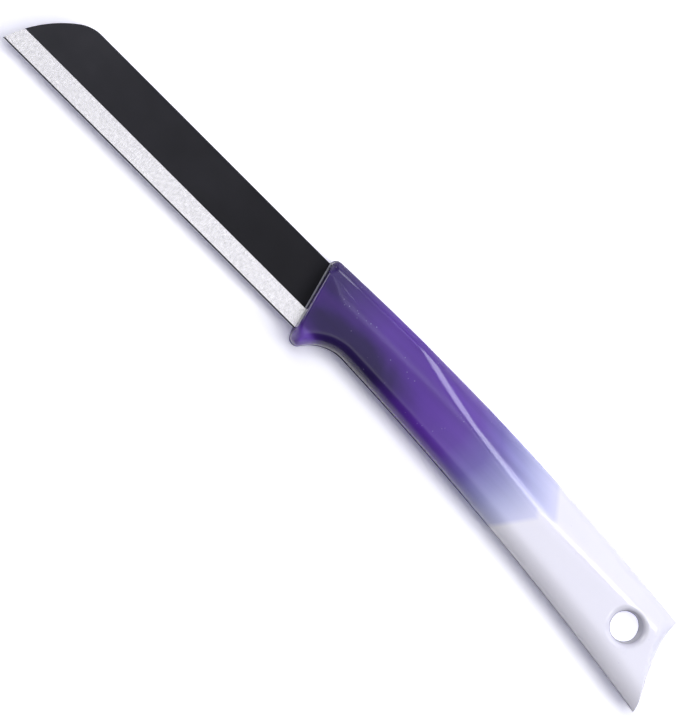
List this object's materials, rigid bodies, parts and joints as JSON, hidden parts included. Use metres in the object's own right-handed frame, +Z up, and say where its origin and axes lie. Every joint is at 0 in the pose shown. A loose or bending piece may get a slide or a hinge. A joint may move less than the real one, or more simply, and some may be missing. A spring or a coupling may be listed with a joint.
{
  "type": "paring knife",
  "caption": "Paring knife with a straight edge, a rounded sheepsfoot point and a ground bevel, its tang moulded into a curved plastic handle with a finger guard and a hanging hole",
  "frame": {"origin": "The middle of the knife's box in X and Y, on the floor that it lies on.", "axes": "+X runs from the blade's point to the butt, +Y from the cutting edge to the spine, and +Z up from the side that the knife lies on."},
  "size_m": [0.1898, 0.0234, 0.012],
  "materials": {
    "blade": "stainless steel with a black non-stick coating, ground bare along the cutting edge",
    "handle": "glossy moulded plastic, violet at the blade and fading to white at the butt"
  },
  "bodies": {
    "root": {"blade": "blade", "handle": "handle"}
  },
  "joints": []
}
